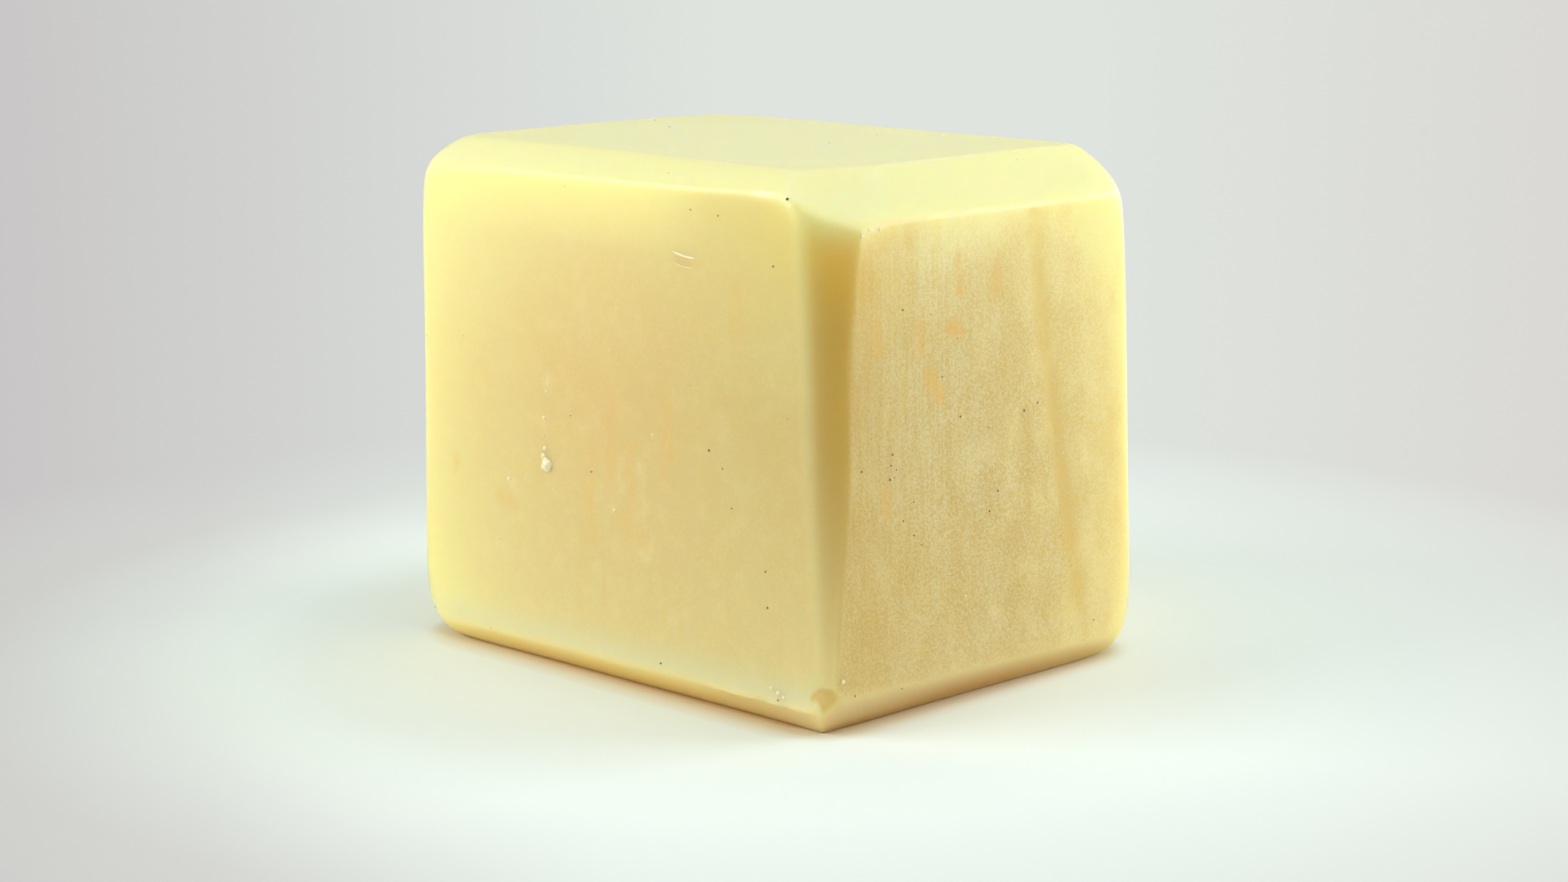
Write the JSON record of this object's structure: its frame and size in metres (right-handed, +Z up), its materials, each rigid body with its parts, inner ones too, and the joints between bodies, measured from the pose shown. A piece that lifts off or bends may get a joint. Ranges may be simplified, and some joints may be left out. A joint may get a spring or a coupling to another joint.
{
  "type": "bar of soap",
  "caption": "Blocky hand-cut bar of home-made soap with planed, rubbed edges, a smooth waxy face and a frosted face. Stands on its base and is used for washing.",
  "frame": {"origin": "middle of the base outline, on the surface that the bar stands on", "axes": "+Z up, +X along the smooth face from the plain end to the frosted end, +Y from the smooth face to the back"},
  "size_m": [0.0599, 0.0482, 0.052],
  "materials": {
    "soap": "cured natural soap, waxy and slightly translucent, pale honey yellow, smooth on one face and frosted with soda ash on the next"
  },
  "bodies": {
    "root": {"soap_bar": "soap"}
  },
  "joints": []
}
